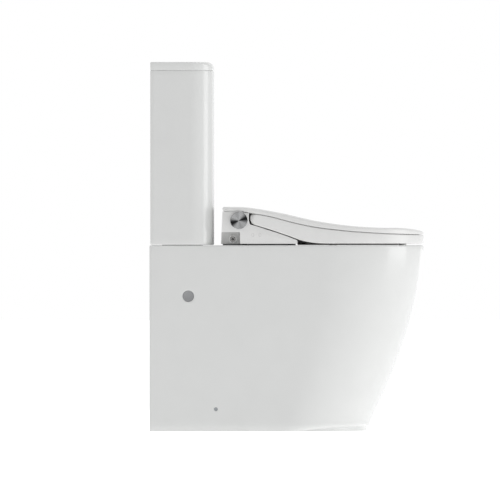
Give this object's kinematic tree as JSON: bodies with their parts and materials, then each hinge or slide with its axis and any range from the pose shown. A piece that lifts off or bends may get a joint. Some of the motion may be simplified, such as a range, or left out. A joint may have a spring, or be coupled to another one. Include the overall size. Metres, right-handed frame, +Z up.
{
  "type": "close coupled toilet",
  "caption": "Back-to-wall close coupled toilet: china pan and cistern with dual flush, slim wash seat with side knob, spray nozzles, hinged ring and lid.",
  "frame": {"origin": "on the floor, midway between the wall face and the nose, on the centre plane", "axes": "+Z up, +Y towards the wall, -Y towards the user, knob on the -X side"},
  "size_m": [0.38, 0.629, 0.845],
  "materials": {
    "vitreous_china": "glossy white glaze",
    "seat_plastic": "polished white moulding",
    "grey_rubber": "matt, moulded",
    "black_rubber": "matt",
    "soft_rubber": "matt, translucent white",
    "red_silicone": "matt",
    "zinc_plated_steel": "bright zinc plate",
    "stainless_steel": "brushed",
    "brass": "machined",
    "nickel_plated_brass": "satin nickel plate",
    "chromed_plastic": "bright plate",
    "spun_metal": "circular spun grain",
    "valve_plastic": "moulded white",
    "valve_core_plastic": "moulded blue",
    "clear_hose": "milky hose",
    "black_plastic": "moulded black"
  },
  "bodies": {
    "pan_and_cistern": {"pan": "vitreous_china", "access_plugs": "grey_rubber", "floor_brackets": "zinc_plated_steel", "bracket_side_screws": "zinc_plated_steel", "bracket_floor_screws": "zinc_plated_steel", "cistern": "vitreous_china", "cistern_lid": "vitreous_china", "cistern_pads": "black_rubber", "cistern_bolts": "brass", "cistern_bolt_seals": "black_rubber", "cistern_wing_nuts": "brass", "coupling_seal": "black_rubber", "flush_valve_body": "valve_plastic", "flush_valve_nut": "valve_plastic", "flush_valve_floor_seal": "black_rubber", "fill_valve_body": "valve_plastic", "fill_valve_seal": "black_rubber", "fill_valve_nut": "valve_core_plastic", "float_lever_pin": "stainless_steel", "button_bezel": "chromed_plastic", "button_nut": "valve_plastic", "full_flush_spring": "stainless_steel", "half_flush_spring": "stainless_steel", "seat_body_cover": "seat_plastic", "seat_body_base": "seat_plastic", "seat_base_screws": "stainless_steel", "seat_body_feet": "black_rubber", "seat_fixing_plate": "stainless_steel", "seat_bolts": "stainless_steel", "seat_bolt_nuts": "black_rubber", "selector_valve": "valve_plastic", "inlet_collar": "seat_plastic", "inlet_nipple": "nickel_plated_brass", "supply_tube": "clear_hose", "rear_nozzle_tube": "clear_hose", "front_nozzle_tube": "clear_hose", "nozzle_block": "valve_plastic", "seat_hinge_posts": "seat_plastic", "hinge_pins": "stainless_steel"},
    "lid": {"seat_lid": "seat_plastic", "lid_bumpers": "soft_rubber", "hinge_dampers": "black_plastic"},
    "seat": {"seat_ring": "seat_plastic", "seat_bumpers": "soft_rubber", "seat_hinge_arms": "seat_plastic"},
    "knob": {"control_knob": "chromed_plastic", "knob_cap": "spun_metal", "knob_spindle": "brass"},
    "rear_wash_nozzle": {"rear_nozzle": "stainless_steel"},
    "front_wash_nozzle": {"front_nozzle": "stainless_steel"},
    "full_button": {"full_flush_button": "chromed_plastic", "full_flush_rod": "valve_plastic"},
    "half_button": {"half_flush_button": "chromed_plastic", "half_flush_rod": "valve_plastic"},
    "flush_core": {"flush_valve_core": "valve_core_plastic", "flush_valve_seal": "red_silicone"},
    "float": {"float_cup": "valve_core_plastic"},
    "lever": {"float_lever": "valve_plastic"}
  },
  "joints": [
    {"name": "lid_hinge", "type": "hinge", "parent": "pan_and_cistern", "child": "lid", "pos_m": [0, 0.1424, 0.5089], "axis": [-1, 0, 0], "range_deg": [0, 99]},
    {"name": "seat_hinge", "type": "hinge", "parent": "pan_and_cistern", "child": "seat", "pos_m": [0, 0.1424, 0.5089], "axis": [-1, 0, 0], "range_deg": [0, 98]},
    {"name": "knob_turn", "type": "hinge", "parent": "pan_and_cistern", "child": "knob", "pos_m": [-0.183, 0.11, 0.4823], "axis": [-1, 0, 0], "range_deg": [-90, 90]},
    {"name": "rear_nozzle_slide", "type": "slide", "parent": "pan_and_cistern", "child": "rear_wash_nozzle", "axis": [0, -0.9397, -0.342], "range_m": [0, 0.055], "stiffness_N_per_m": 60, "springref_m": -0.015},
    {"name": "front_nozzle_slide", "type": "slide", "parent": "pan_and_cistern", "child": "front_wash_nozzle", "axis": [0, -0.9397, -0.342], "range_m": [0, 0.055], "stiffness_N_per_m": 60, "springref_m": -0.015},
    {"name": "full_flush_press", "type": "slide", "parent": "pan_and_cistern", "child": "full_button", "axis": [0, 0, -1], "range_m": [0, 0.007], "stiffness_N_per_m": 800, "springref_m": -0.006, "deforming": ["full_flush_spring"]},
    {"name": "half_flush_press", "type": "slide", "parent": "pan_and_cistern", "child": "half_button", "axis": [0, 0, -1], "range_m": [0, 0.006], "stiffness_N_per_m": 800, "springref_m": -0.006, "deforming": ["half_flush_spring"]},
    {"name": "flush_core_lift", "type": "slide", "parent": "pan_and_cistern", "child": "flush_core", "axis": [0, 0, 1], "range_m": [0, 0.021]},
    {"name": "float_rise", "type": "slide", "parent": "pan_and_cistern", "child": "float", "axis": [0, 0, 1], "range_m": [0, 0.012]},
    {"name": "float_lever_tilt", "type": "hinge", "parent": "pan_and_cistern", "child": "lever", "pos_m": [0.1395, 0.25, 0.738], "axis": [0, 1, 0], "range_deg": [0, 25.5]}
  ],
  "couplings": [
    {"joint": "seat_hinge", "follows": "lid_hinge", "ratio": 0.97},
    {"joint": "flush_core_lift", "follows": "full_flush_press", "ratio": 2.8},
    {"joint": "float_lever_tilt", "follows": "float_rise", "rad_per_m": 36.3}
  ]
}
